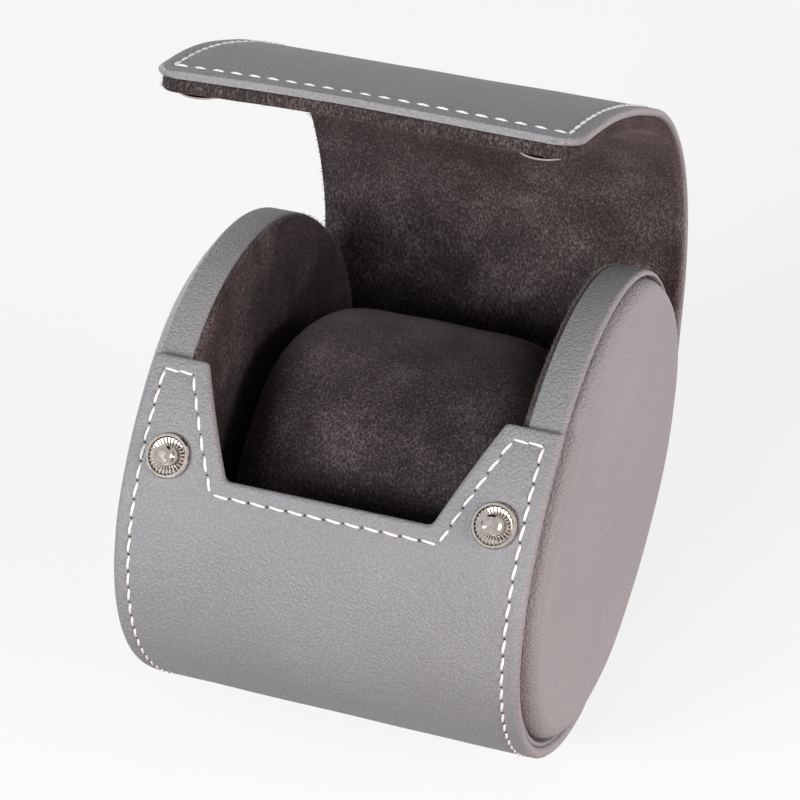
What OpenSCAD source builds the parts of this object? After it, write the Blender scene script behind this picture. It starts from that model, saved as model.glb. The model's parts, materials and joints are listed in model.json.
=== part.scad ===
// Watch travel case: an oval roll of leather over boards, with padded end discs, a lid that
// continues the wrap, two press snaps on the front tabs and a loose pillow between the discs.
// The section lies in the YZ plane and the roll runs along X. The origin is the centre of the
// small flat that the case rests on. The lid stands open, as the case is shown.

/* [Body] */
// Depth of the closed oval, front to back, over the leather
body_depth = 103; // [92:0.5:116]
// Height of the closed oval over the leather
body_height = 88.8; // [80:0.2:98]
// Width over the side edges of the wrap
body_width = 74.4; // [64:0.2:90]
// Radius of the rounder arcs at front and back
end_radius = 35; // [31:0.5:38]
// How deep the resting flat is pressed into the bottom
rest_flat = 0.6; // [0.3:0.05:0.8]

/* [Leather, board and lining] */
// Leather of the wrap and the lid
leather_t = 1.1; // [0.9:0.1:1.4]
// Board under the leather of the wrap
wrap_board_t = 0.9; // [0.8:0.1:1.4]
// Suede lining of the wrap between the discs
wrap_lining_t = 1.2; // [0.8:0.1:2]
// Leather turned in round the edge of a board
edge_turn = 1.2; // [0.8:0.1:2]

/* [Front panel] */
// Height of the tab tops, as an angle of the surface's normal from the back
tab_angle = 121.5; // [118:0.5:125]
// Height of the bottom of the notch, as the same angle
notch_angle = 142.7; // [138:0.1:146]
// Width of each tab at its top
tab_top_w = 10.1; // [8.4:0.1:12]
// Width of each tab at the bottom of the notch
tab_root_w = 18.5; // [15:0.1:23]
// Fillet in the corners of the notch
notch_fillet = 1.5; // [0.5:0.1:3]
// Rounding of the tabs' inner corners
tab_round = 1; // [0.4:0.1:2]

/* [End discs] */
// Thickness of each disc without its domed face
disc_t = 7.9; // [7:0.1:10]
// Leather round the rim of a disc
rim_leather_t = 1; // [0.8:0.1:1.4]
// Suede on the inner face of a disc
disc_lining_t = 1; // [0.6:0.1:1.5]
// Leather over the padded outer face
face_leather_t = 1; // [0.8:0.1:1.4]
// Width of the groove between the rim and the padded face
groove_w = 0.6; // [0.3:0.1:1]
// Depth from the rim's edge to the board under the face
face_recess = 2.6; // [2.4:0.1:3.2]
// How far the middle of the padded face stands out past the rim
face_proud = 1.8; // [1.2:0.1:2.4]
// Radius of the dome of the padded face
face_dome_r = 620; // [550:10:900]

/* [Lid] */
// Board in the lid
lid_board_t = 1.2; // [0.8:0.1:1.6]
// Suede lining of the lid
lid_lining_t = 1.6; // [1:0.1:2.2]
// How far the lining stands back from the side and front edges
lid_lining_inset = 1.5; // [0.8:0.1:2.5]
// Air between the closed lid and the discs at the hinge
lid_gap = 0.4; // [0.3:0.05:0.8]
// Radius of the lid's crown at the level of the wrap's outer face
lid_crown_r = 58; // [57:0.5:62]
// Place of the hinge fold, as the angle of the surface's normal
hinge_angle = 8; // [4:0.5:14]
// Place of the fold between the lid and its front flap, as the same angle
fold_angle = 104; // [100:0.5:108]
// How far the lid stands open
lid_open = 29; // [24:1:38]
// How far the front flap has sprung straight
flap_open = 29; // [20:1:32]
// Radius of the front flap at the middle of its thickness
flap_radius = 85; // [78:1:95]
// From the middle of a snap to the lid's front edge
snap_margin = 8; // [7:0.5:10]
// Rounding of the lid's front corners
lid_corner_r = 5; // [2:0.5:8]
// Air round the folds, so that they turn freely
fold_gap = 0.3; // [0.25:0.05:0.5]

/* [Snaps] */
// From the middle of each snap to the side edge
snap_side = 7.7; // [6.5:0.1:9]
// Height of the snaps on the front, as the angle of the surface's normal
snap_angle = 140.4; // [138:0.1:142]
// Diameter of a stud's flange
stud_d = 8; // [7:0.1:9]
// Height of the stud's raised ring
stud_ring_h = 1; // [0.8:0.05:1.1]
// Height of the stud's post
stud_post_h = 3.2; // [2.8:0.1:3.4]
// Radius of the bulge at the top of the post
post_bulge_r = 1.75; // [1.6:0.05:1.8]
// Radius of the post's neck
post_neck_r = 1.35; // [1.2:0.05:1.4]
// Radial ribs in the dish of a stud
stud_ribs = 28; // [16:2:32]
// Radius of the shank through the leather
shank_r = 1.5; // [1.2:0.1:1.6]
// Radius of the plate that holds a stud from behind
rivet_r = 3; // [2.5:0.1:3.5]
// Cap over the end of a socket's barrel
cap_t = 0.3; // [0.2:0.05:0.5]
// Radius of a socket's flange
socket_r = 4.4; // [4.2:0.1:4.6]
// Radius of the socket's barrel
barrel_r = 3.3; // [3.1:0.1:3.4]
// Wire of the ring spring in a socket
spring_wire = 0.5; // [0.4:0.05:0.55]

/* [Pillow] */
// Depth of the pillow
pillow_depth = 70; // [60:1:74]
// Height of the pillow
pillow_height = 68; // [58:1:70]
// Suede sleeve and end panels of the pillow
pillow_suede_t = 1.2; // [0.8:0.1:1.6]
// How far the sleeve is drawn in at its end seams
pillow_draw = 2.4; // [1:0.1:4]
// How far the end panels bulge
pillow_bulge = 1.6; // [0.6:0.1:2.5]
// Air between the pillow and the case
pillow_gap = 0.3; // [0.25:0.05:0.6]

/* [Hidden] */

$fn = 48;
arc_step = 3;      // degrees between the points of an arc
overlap = 1;       // how far a cutter runs past what it cuts

leather_grey = "#8b8c8f";
edge_grey = "#7c7d80";
suede_brown = "#564d4f";
board_tan = "#a08a6a";
foam_cream = "#d8d0bc";
nickel = "#c9c6c0";

// The oval has four arcs: end arcs at front and back, crown arcs at top and bottom.
half_height = body_height / 2;
half_width = body_width / 2;
end_c = body_depth / 2 - end_radius;
crown_c = (pow(end_c, 2) - pow(half_height - end_radius, 2)) / (2 * (half_height - end_radius));
crown_radius = crown_c + half_height;
joint_angle = atan2(crown_c, end_c);
centre_z = half_height - rest_flat;

skin_t = leather_t + wrap_board_t;         // leather and board of the wrap
disc_inner_x = half_width - disc_t;
snap_x = half_width - snap_side;
lid_t = leather_t + lid_board_t + lid_lining_t;
lid_in = lid_gap - skin_t;                 // offsets of the lid's faces from the oval
lid_out = lid_in + lid_t;
lid_mid = lid_in + lid_t / 2;
roll_r = lid_t / 2;

function dir(t) = [cos(t), sin(t)];
function oval_centre(t) =
    let (a = (t % 360 + 360) % 360)
    a <= joint_angle || a >= 360 - joint_angle ? [end_c, 0]
    : a < 180 - joint_angle ? [0, -crown_c]
    : a <= 180 + joint_angle ? [-end_c, 0]
    : [0, crown_c];
function oval_radius(t) = oval_centre(t).y == 0 ? end_radius : crown_radius;
function on_oval(t, off) = oval_centre(t) + (oval_radius(t) + off) * dir(t);

// A closed snap fills the room from the front panel to the flap's leather: post, socket, cap.
post_clear = 0.2;    // from the top of the post to the end of the socket's bore
barrel_end = 0.3;    // metal over that bore
cap_clear = 0.6;     // room over the cap, as the flap lies slanted there
barrel_top = stud_post_h + post_clear + barrel_end;
snap_gap = barrel_top + cap_t + cap_clear - lid_lining_t - lid_board_t;

// The closed lid follows the back arc and then a crown of its own, a little flatter.
lid_crown_c = [end_c, 0] + (end_radius - lid_crown_r) * dir(joint_angle);
function on_lid(t, off) = t <= joint_angle
    ? [end_c, 0] + (end_radius + off) * dir(t)
    : lid_crown_c + (lid_crown_r + off) * dir(t);

// The front flap is one flatter arc from the fold, which clears the snaps by snap_gap.
hinge_at = on_lid(hinge_angle, lid_mid);
fold_at = on_lid(fold_angle, lid_mid);
snap_at = on_oval(snap_angle, 0);
reach = norm(snap_at - fold_at);
snap_depth = flap_radius - roll_r - snap_gap;
reach_angle = acos((pow(flap_radius, 2) + pow(reach, 2) - pow(snap_depth, 2)) / (2 * flap_radius * reach));
to_snap = atan2(snap_at.y - fold_at.y, snap_at.x - fold_at.x) + 360;
flap_start = to_snap + reach_angle - 180;
flap_c = fold_at - flap_radius * dir(flap_start);
flap_snap = atan2(snap_at.y - flap_c.y, snap_at.x - flap_c.x);
flap_tip = flap_snap + snap_margin / flap_radius * 180 / PI;
function on_flap(t, off) = flap_c + (flap_radius + off - lid_mid) * dir(t);

// Angles from a to b, at every whole step between them
function steps(a, b) = concat([a], [for (k = [floor(a / arc_step) + 1 : ceil(b / arc_step) - 1])
    k * arc_step], [b]);
function backwards(v) = [for (k = [len(v) - 1 : -1 : 0]) v[k]];

// Corners [x, y, fillet radius] turned into a smooth outline
function corner_arc(a, b, c, r) =
    let (
        u = (a - b) / norm(a - b),
        v = (c - b) / norm(c - b),
        half = acos(u * v) / 2,
        m = b + (u + v) / norm(u + v) * r / sin(half),
        p = b + u * r / tan(half),
        q = b + v * r / tan(half),
        from = atan2(p.y - m.y, p.x - m.x),
        turn = atan2(q.y - m.y, q.x - m.x) - from,
        sweep = turn > 180 ? turn - 360 : turn < -180 ? turn + 360 : turn
    )
    r == 0 ? [b] : [for (k = [0 : 4]) m + r * dir(from + sweep * k / 4)];
function smooth(pts) = [for (k = [0 : len(pts) - 1])
    let (n = len(pts), a = pts[(k + n - 1) % n], b = pts[k], c = pts[(k + 1) % n])
    each corner_arc([a.x, a.y], [b.x, b.y], [c.x, c.y], b[2])];

// Section shapes, drawn in YZ
module oval(off) {
    polygon([for (t = [0 : arc_step : 360 - arc_step]) on_oval(t, off)]);
}
module wrap_band(from, to, inner, outer) {
    polygon(concat([for (t = steps(from, to)) on_oval(t, outer)],
        backwards([for (t = steps(from, to)) on_oval(t, inner)])));
}
module lid_band(from, to, inner, outer) {
    polygon(concat([for (t = steps(from, to)) on_lid(t, outer)],
        backwards([for (t = steps(from, to)) on_lid(t, inner)])));
}
module flap_band(from, to, inner, outer) {
    polygon(concat([for (t = steps(from, to)) on_flap(t, outer)],
        backwards([for (t = steps(from, to)) on_flap(t, inner)])));
}

// A section shape made solid from x = from to x = to
module across(from, to) {
    translate([from, 0, centre_z]) rotate([90, 0, 90]) linear_extrude(to - from) children();
}
// A round bar along X at a place of the section
module bar(at, r, half_length) {
    translate([-half_length, at.x, centre_z + at.y]) rotate([0, 90, 0])
        cylinder(r = r, h = 2 * half_length);
}
// Local Z along the surface's normal at a place of the section, local Y down the front
module facing(at, normal, x = 0) {
    translate([x, at.x, centre_z + at.y]) rotate([normal - 90, 0, 0]) rotate([0, 0, 180]) children();
}
module turned(at, angle) {
    translate([0, at.x, centre_z + at.y]) rotate([angle, 0, 0]) translate([0, -at.x, -centre_z - at.y])
        children();
}
module both_sides() {
    children();
    mirror([1, 0, 0]) children();
}
// From the closed case to the shown one
module lid_opened() {
    turned(hinge_at, -lid_open) children();
}
module flap_opened() {
    lid_opened() turned(fold_at, -flap_open) children();
}

// The notch and the tab tops, cut along the normal between them and grown by inset
cut_angle = (tab_angle + notch_angle) / 2;
tab_y = crown_radius * sin(tab_angle - cut_angle);
notch_y = crown_radius * sin(notch_angle - cut_angle);
cut_reach = 25;    // how far the cutter reaches up past the tab tops, over the end of the sheets
cut_depth = 8;     // and to each side of the outer face
module front_cutter(inset) {
    slant = atan2(tab_root_w - tab_top_w, notch_y - tab_y);
    sideways = inset / cos(slant) - inset * tan(slant);
    top = tab_y + inset;
    half = [
        [half_width - tab_root_w + sideways, notch_y + inset, notch_fillet],
        [half_width - tab_top_w + sideways, top, inset > 0 ? 0 : tab_round],
        [half_width + overlap, top, 0],
        [half_width + overlap, top - cut_reach, 0],
    ];
    facing(on_oval(cut_angle, -cut_depth), cut_angle) linear_extrude(2 * cut_depth)
        polygon(smooth(concat(half, backwards([for (p = half) [-p.x, p.y, p[2]]]))));
}

// The shape of the flap seen square on, drawn in by inset
flap_mid = (flap_start + flap_tip) / 2;
flap_bow = 5;      // more than the flap's arc bows away from a flat
module flap_outline(inset) {
    far = flap_radius * sin(flap_tip - flap_mid) - inset;
    near = -far - inset - lid_t - overlap;
    side = half_width - inset;
    r = lid_corner_r - min(inset, lid_corner_r - 1);
    under = lid_in - flap_bow - overlap;
    facing(on_flap(flap_mid, under), flap_mid) linear_extrude(lid_out + overlap - under)
        polygon(smooth([[-side, near, 0], [side, near, 0], [side, far, r], [-side, far, r]]));
}

// Wrap: leather turned in round its board, with the lining between the discs
module at_studs() {
    both_sides() facing(snap_at, snap_angle, snap_x) children();
}
roll_stop = 1.5;               // degrees from the hinge roll's axis to the end of the wrap
board_end = 5;                 // and from there to the end of its board
sheet_from = tab_angle - 9;    // the sheets start above the tab tops, and the cutter trims them
module wrap_layer(from, inner, outer, half, inset, stop) {
    difference() {
        across(-half, half) wrap_band(from, 360 + hinge_angle - roll_stop - stop, inner, outer);
        front_cutter(inset);
    }
}
module case_leather() {
    color(leather_grey) difference() {
        wrap_layer(sheet_from, -skin_t, 0, half_width, 0, 0);
        wrap_layer(sheet_from, -skin_t - overlap, -leather_t, half_width - edge_turn, edge_turn, board_end);
        bar(hinge_at, roll_r, half_width + overlap);
        at_studs() translate([0, 0, -skin_t - overlap]) cylinder(r = shank_r, h = skin_t + 2 * overlap);
        translate([-half_width - overlap, -body_depth / 2, -rest_flat - overlap])
            cube([body_width + 2 * overlap, body_depth, rest_flat + overlap]);
    }
}
module case_board() {
    color(board_tan) difference() {
        wrap_layer(sheet_from, -skin_t, -leather_t, half_width - edge_turn, edge_turn, board_end);
        at_studs() translate([0, 0, -skin_t - overlap]) cylinder(r = rivet_r, h = skin_t + 2 * overlap);
    }
}
module case_lining() {
    color(suede_brown)
        wrap_layer(sheet_from, -skin_t - wrap_lining_t, -skin_t, disc_inner_x, edge_turn, 0);
}
module hinge_roll() {
    color(edge_grey) bar(hinge_at, roll_r, half_width);
}

// End discs, made for the right side and mirrored for the left
rim_out = -skin_t;
rim_in = rim_out - rim_leather_t;
face_out = rim_in - groove_w;
face_x = half_width - face_recess;
module end_board() {
    color(board_tan) across(disc_inner_x + disc_lining_t, face_x) oval(rim_in);
}
lining_edge = 0.3;  // from the rim's outer face to the edge of the suede on the inner face
module rim_leather() {
    color(leather_grey) across(disc_inner_x + disc_lining_t, half_width) difference() {
        oval(rim_out);
        oval(rim_in);
    }
}
module end_lining() {
    color(suede_brown) across(disc_inner_x, disc_inner_x + disc_lining_t) oval(rim_out - lining_edge);
}
dome_steps = 8;    // cones that make the dome
module domed(inset) {
    reach = body_depth / 2;
    top = half_width + face_proud - inset - face_x;
    intersection() {
        across(face_x, face_x + top + overlap) oval(face_out - inset);
        translate([face_x, 0, centre_z]) rotate([0, 90, 0]) rotate_extrude($fn = 96)
            polygon(concat([[0, 0], [reach, 0]], [for (k = [dome_steps : -1 : 0])
                let (r = reach * k / dome_steps)
                [r, top + sqrt(pow(face_dome_r, 2) - pow(r, 2)) - face_dome_r]]));
    }
}
module face_pad() {
    color(foam_cream) domed(face_leather_t);
}
module face_leather() {
    color(leather_grey) difference() {
        domed(0);
        domed(face_leather_t);
    }
}

// Snaps, drawn with Z out of the front panel and z = 0 on its leather
shank_end = -leather_t - 0.15;   // where the shank meets the plate behind the leather
stud_ring_w = 0.6;               // width of the raised ring
rib_t = 0.24;                    // thickness of a rib in the dish
rib_h = 0.5;
bulge_h = 1;                     // from the neck to the top of the post
module stud() {
    ring_out = stud_d / 2;
    ring_in = ring_out - stud_ring_w;
    dish_r = post_bulge_r + 0.15;
    neck_top = stud_post_h - bulge_h;
    rotate_extrude() polygon([
        [0, shank_end], [shank_r, shank_end], [shank_r, 0], [ring_out, 0],
        [ring_out, stud_ring_h - 0.3], [ring_out - 0.2, stud_ring_h], [ring_in, stud_ring_h],
        [ring_in - 0.3, 0.6], [dish_r, 0.4], [post_neck_r, 0.6], [post_neck_r, neck_top],
        [post_bulge_r, neck_top + 0.3], [post_bulge_r, neck_top + 0.5],
        [post_bulge_r * 0.8, stud_post_h - 0.2], [post_bulge_r * 0.4, stud_post_h], [0, stud_post_h],
    ]);
    for (k = [0 : stud_ribs - 1]) rotate([0, 0, k * 360 / stud_ribs])
        translate([dish_r, -rib_t / 2, 0.3]) cube([ring_in - dish_r, rib_t, rib_h]);
}
module snap_studs() {
    color(nickel) at_studs() stud();
}
module stud_rivets() {
    color(nickel) at_studs() translate([0, 0, -skin_t]) cylinder(r = rivet_r, h = skin_t + shank_end);
}

socket_z = stud_ring_h + 0.25;                 // face of the socket over the stud's ring
spring_z = stud_post_h - bulge_h - 0.2;        // the spring grips just under the bulge
flange_sink = 0.15;                            // how deep a flange is pressed into the lining
module socket() {
    throat_r = post_bulge_r + 0.2;
    chamber_r = post_neck_r + 0.15 + 2 * spring_wire;
    post_room = stud_post_h + post_clear;
    rotate_extrude() polygon([
        [throat_r, socket_z], [socket_r, socket_z], [socket_r, socket_z + 0.3],
        [barrel_r + 0.3, snap_gap + flange_sink], [barrel_r, snap_gap + flange_sink],
        [barrel_r, barrel_top], [0, barrel_top], [0, post_room], [throat_r, post_room],
        [throat_r, spring_z + spring_wire], [chamber_r, spring_z + spring_wire / 2 + 0.05],
        [chamber_r, spring_z - spring_wire / 2 - 0.02], [throat_r, spring_z - spring_wire / 2 - 0.02],
    ]);
}
module barrel_hole() {
    at_studs() cylinder(r = barrel_r, h = snap_gap + 2 * lid_t);
}
module snap_sockets() {
    color(nickel) flap_opened() at_studs() socket();
}
module socket_springs() {
    ring_r = post_neck_r + 0.1 + spring_wire / 2;
    color(nickel) flap_opened() at_studs() translate([0, 0, spring_z])
        rotate_extrude() translate([ring_r, 0]) circle(d = spring_wire, $fn = 16);
}
module socket_caps() {
    color(nickel) flap_opened() at_studs() translate([0, 0, barrel_top])
        cylinder(r = barrel_r, h = cap_t);
}

// Lid: from the hinge fold to the front fold
board_in = lid_in + lid_lining_t;
board_out = board_in + lid_board_t;
board_stop = 3;    // degrees from each fold to the lid's board
crease = 1;        // degrees from the front fold to the end of the lid's sheet
module lid_board_shape(inner) {
    across(edge_turn - half_width, half_width - edge_turn)
        lid_band(hinge_angle + 2 * board_stop, fold_angle - board_stop, inner, board_out);
}
module lid_cut() {
    difference() {
        children();
        bar(hinge_at, roll_r + fold_gap, half_width + overlap);
        bar(fold_at, roll_r, half_width + overlap);
    }
}
module lid_sheet(inner, outer, half) {
    lid_cut() across(-half, half) lid_band(hinge_angle, fold_angle - crease, inner, outer);
}
module lid_leather() {
    color(leather_grey) lid_opened() difference() {
        lid_sheet(board_in, lid_out, half_width);
        lid_board_shape(board_in - overlap);
    }
}
module lid_board() {
    color(board_tan) lid_opened() lid_board_shape(board_in);
}
module lid_lining() {
    color(suede_brown) lid_opened() lid_sheet(lid_in, board_in, half_width - lid_lining_inset);
}
module flap_fold_roll() {
    color(edge_grey) lid_opened() bar(fold_at, roll_r, half_width);
}

// Front flap: from the front fold to the lid's edge, with the sockets in it
module flap_layer(inner, outer, inset) {
    difference() {
        intersection() {
            across(-half_width, half_width) flap_band(flap_start, flap_tip + 1, inner, outer);
            flap_outline(inset);
        }
        bar(fold_at, roll_r + fold_gap, half_width + overlap);
    }
}
module flap_board_shape(inner) {
    difference() {
        flap_layer(inner, board_out, edge_turn);
        bar(fold_at, roll_r + fold_gap + edge_turn, half_width + overlap);
    }
}
module flap_leather() {
    color(leather_grey) flap_opened() difference() {
        flap_layer(board_in, lid_out, 0);
        flap_board_shape(board_in - overlap);
    }
}
module flap_board() {
    color(board_tan) flap_opened() difference() {
        flap_board_shape(board_in);
        barrel_hole();
    }
}
module flap_lining() {
    color(suede_brown) flap_opened() difference() {
        flap_layer(lid_in, board_in, lid_lining_inset);
        barrel_hole();
        at_studs() cylinder(r = socket_r, h = snap_gap + flange_sink);
    }
}

// Pillow: rings of an oval, drawn in at the end seams, with bulged end panels
pillow_z = -half_height + skin_t + wrap_lining_t + pillow_gap + pillow_height / 2;
pillow_half = disc_inner_x - pillow_gap - pillow_bulge;
ring_n = 40;
function pillow_ring(x, inset) = [for (k = [0 : ring_n - 1])
    let (
        a = k * 360 / ring_n,
        draw = pillow_draw * pow(abs(x) / pillow_half, 4),
        ry = pillow_depth / 2 - draw - inset,
        rz = pillow_height / 2 - draw - inset
    )
    [x, ry * cos(a), centre_z + pillow_z + rz * sin(a)]];
// Quads between rings a and b of a point list, split into triangles
function band_faces(a, b) = [for (k = [0 : ring_n - 1])
    let (n = (k + 1) % ring_n, near = a * ring_n, far = b * ring_n)
    each [[near + k, far + k, far + n], [near + k, far + n, near + n]]];
function ring_list(rings) = [for (r = rings) each r];
pillow_xs = [for (k = [-4 : 4]) pillow_half * sin(k * 90 / 4)];
module pillow_foam() {
    last = len(pillow_xs) - 1;
    color(foam_cream) polyhedron(
        ring_list([for (x = pillow_xs) pillow_ring(x, pillow_suede_t)]),
        concat(
            [for (k = [0 : last - 1]) each band_faces(k, k + 1)],
            [[for (k = [0 : ring_n - 1]) k]],
            [[for (k = [ring_n - 1 : -1 : 0]) last * ring_n + k]]
        ));
}
module pillow_sleeve() {
    n = len(pillow_xs);
    color(suede_brown) polyhedron(
        ring_list(concat(
            [for (x = pillow_xs) pillow_ring(x, 0)],
            [for (x = backwards(pillow_xs)) pillow_ring(x, pillow_suede_t)])),
        [for (k = [0 : 2 * n - 1]) each band_faces(k, (k + 1) % (2 * n))]);
}
module pillow_end_panel() {
    domes = [1, 0.97, 0.85, 0.6, 0.3];
    seam = pillow_ring(pillow_half, 0);
    middle = centre_z + pillow_z;
    shrunk = [for (u = domes) [for (p = seam)
        [pillow_half + pillow_bulge * (1 - pow(u, 4)) + 0.02, p.y * u, middle + (p.z - middle) * u]]];
    n = len(domes);
    color(suede_brown) polyhedron(
        ring_list(concat([seam], shrunk)),
        concat(
            [for (k = [0 : n - 1]) each band_faces(k, k + 1)],
            [[for (k = [0 : ring_n - 1]) k]],
            [[for (k = [ring_n - 1 : -1 : 0]) n * ring_n + k]]
        ));
}
module pillow_end_panels() {
    both_sides() pillow_end_panel();
}

case_leather();
case_board();
case_lining();
hinge_roll();
mirror([1, 0, 0]) end_board();  // left_end_board
mirror([1, 0, 0]) rim_leather();  // left_rim_leather
mirror([1, 0, 0]) face_pad();  // left_face_pad
mirror([1, 0, 0]) face_leather();  // left_face_leather
mirror([1, 0, 0]) end_lining();  // left_end_lining
end_board();  // right_end_board
rim_leather();  // right_rim_leather
face_pad();  // right_face_pad
face_leather();  // right_face_leather
end_lining();  // right_end_lining
snap_studs();
stud_rivets();
lid_leather();
lid_board();
lid_lining();
flap_fold_roll();
flap_leather();
flap_board();
flap_lining();
snap_sockets();
socket_springs();
socket_caps();
pillow_foam();
pillow_sleeve();
pillow_end_panels();
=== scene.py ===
# Travel case: the leather, suede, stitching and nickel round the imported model.
# Shapes are worked out in millimetres and become metres when a mesh is written.
# A sheet is laid out flat, as a maker cuts it, with X across the case and Y along the strip from
# the tab tops, under the case and up the back to the lid's front edge. Then it is bent.
import json
import math

import bpy
import numpy as np
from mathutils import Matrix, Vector, noise


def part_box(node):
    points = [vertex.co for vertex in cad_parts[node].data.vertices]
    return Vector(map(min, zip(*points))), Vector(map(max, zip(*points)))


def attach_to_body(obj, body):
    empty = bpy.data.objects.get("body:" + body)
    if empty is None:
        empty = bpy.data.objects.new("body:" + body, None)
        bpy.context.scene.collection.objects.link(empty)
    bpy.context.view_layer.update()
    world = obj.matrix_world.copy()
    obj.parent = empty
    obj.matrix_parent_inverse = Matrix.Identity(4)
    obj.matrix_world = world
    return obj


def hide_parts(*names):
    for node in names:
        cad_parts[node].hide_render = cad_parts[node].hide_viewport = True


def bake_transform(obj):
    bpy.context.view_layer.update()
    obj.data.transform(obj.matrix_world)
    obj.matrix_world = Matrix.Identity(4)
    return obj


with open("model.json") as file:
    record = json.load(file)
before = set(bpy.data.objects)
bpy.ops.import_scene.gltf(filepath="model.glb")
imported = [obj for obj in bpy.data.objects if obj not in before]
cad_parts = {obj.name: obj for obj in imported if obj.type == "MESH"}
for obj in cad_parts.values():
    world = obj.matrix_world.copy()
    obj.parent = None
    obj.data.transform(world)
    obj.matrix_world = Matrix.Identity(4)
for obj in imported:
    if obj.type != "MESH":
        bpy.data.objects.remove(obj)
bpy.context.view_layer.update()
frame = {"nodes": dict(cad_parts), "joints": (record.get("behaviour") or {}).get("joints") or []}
MM = 0.001


def box_mm(node):
    low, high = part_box(node)
    return low / MM, high / MM


def place_mm(joint):
    found = next(j for j in frame["joints"] if j["name"] == joint)
    return np.array(found["pos_m"][1:]) / MM


# ---- Sizes, in millimetres and degrees ------------------------------------------------------
SKIN = 2.0             # leather and board of the wrap
LEATHER = 1.1
TURN_IN = 3.0          # leather turned in round the edge of a board
WRAP_LINING = 1.2
LID_SKIN = 2.3         # leather and board of the lid
LID_LINING = 1.6
LINING_INSET = 0.8
END_RADIUS = 35.0
TAB_ANGLE = 121.5
NOTCH_ANGLE = 142.7
TAB_TOP_W = 10.1
TAB_ROOT_W = 18.5
NOTCH_FILLET = 1.5
TAB_ROUND = 1.0
LID_CORNER = 5.0
LID_OUT = 2.3          # the closed lid's outer face, out from the wrap's
LID_CROWN_R = 58.0
LID_OPEN = 29.0
SNAP_TO_TIP = 8.0      # from a snap to the lid's front edge
FRONT_NORMAL = 74.5    # the open lid's front part faces this way, from the back over the top
FRONT_RUN = 30.0       # over this much of its end the lid narrows and crowns a little
FRONT_TAPER = 1.3
FRONT_CROWN = 0.7
LEAVES_AT = 308.0      # behind, the leather starts to leave the discs here
WRAP_END = 356.0       # the wrap's section ends here, and the lid's runs from and to these
LID_START = 30.0
LID_END = 88.0
HINGE_REACH = 18.0     # the leather bends this far either side of the hinge
FOLD_REACH = 15.0      # and of the fold
LINING_LAP = 16.0      # the lid's lining starts this far under the hinge
OVER_SOCKETS = 3.3     # the leather's outer face, out from the middle of the sockets
SOCKET_FLANGE_R = 4.4
BARREL_R = 3.3
EDGE_ROUND = 0.9
SKIVE = 0.9            # the lid's skin is pared this much thinner at its edge
STITCH_IN = 2.9        # from an edge to its stitches
FRONT_STITCH_IN = 4.1  # and from the lid's front edge
STITCH_PITCH = 3.35
STITCH_LENGTH = 2.95
STITCH_SLANT = 6.0
THREAD = 0.52

case_high = box_mm("case_leather")[1]
rim_low, rim_high = box_mm("right_rim_leather")
socket_low, socket_high = box_mm("snap_sockets")
HALF_W = case_high.x
HALF_DEPTH = case_high.y
CENTRE_Z = (rim_low.z + rim_high.z) / 2
HALF_HEIGHT = (rim_high.z - rim_low.z) / 2 + SKIN
DISC_INNER_X = box_mm("right_end_lining")[0].x
hinge = place_mm("lid_hinge")
fold = place_mm("flap_fold")

END_C = HALF_DEPTH - END_RADIUS
CROWN_C = (END_C**2 - (HALF_HEIGHT - END_RADIUS) ** 2) / (2 * (HALF_HEIGHT - END_RADIUS))
CROWN_R = CROWN_C + HALF_HEIGHT
JOIN_ANGLE = math.degrees(math.atan2(CROWN_C, END_C))


# ---- The section: places as (y, z), angles of the surface's normal from the back over the top
def direction(angle):
    return np.array([math.cos(math.radians(angle)), math.sin(math.radians(angle))])


def on_oval(angle, out=0.0):
    a = angle % 360
    if a <= JOIN_ANGLE or a >= 360 - JOIN_ANGLE:
        middle, radius = (END_C, 0), END_RADIUS
    elif a < 180 - JOIN_ANGLE:
        middle, radius = (0, -CROWN_C), CROWN_R
    elif a <= 180 + JOIN_ANGLE:
        middle, radius = (-END_C, 0), END_RADIUS
    else:
        middle, radius = (0, CROWN_C), CROWN_R
    return np.array(middle) + (radius + out) * direction(angle) + (0, CENTRE_Z)


def turned(place, centre, angle):
    c, s = direction(angle)
    y, z = place - centre
    return centre + (c * y - s * z, s * y + c * z)


def on_open_lid(angle, out):
    """The lid's place with this normal when closed, turned open about the hinge."""
    if angle <= JOIN_ANGLE:
        place = np.array([END_C, 0]) + (END_RADIUS + out) * direction(angle)
    else:
        crown = np.array([END_C, 0]) + (END_RADIUS - LID_CROWN_R) * direction(JOIN_ANGLE)
        place = crown + (LID_CROWN_R + out) * direction(angle)
    return turned(place + (0, CENTRE_Z), hinge, -LID_OPEN)


def bridge(start, start_angle, end, end_angle, count=24):
    """A smooth line from one place to another, square to the normal at each end."""
    reach = np.linalg.norm(end - start)
    leave = reach * direction(start_angle + 90)
    arrive = reach * direction(end_angle + 90)
    line = []
    for k in range(1, count):
        u = k / count
        line.append(
            (2 * u**3 - 3 * u**2 + 1) * start
            + (u**3 - 2 * u**2 + u) * leave
            + (3 * u**2 - 2 * u**3) * end
            + (u**3 - u**2) * arrive
        )
    return line


def ease(x, low, high):
    """0 below low, 1 above high and a smooth rise between them."""
    u = np.clip((np.asarray(x, float) - low) / (high - low), 0, 1)
    return u * u * (3 - 2 * u)


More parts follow.
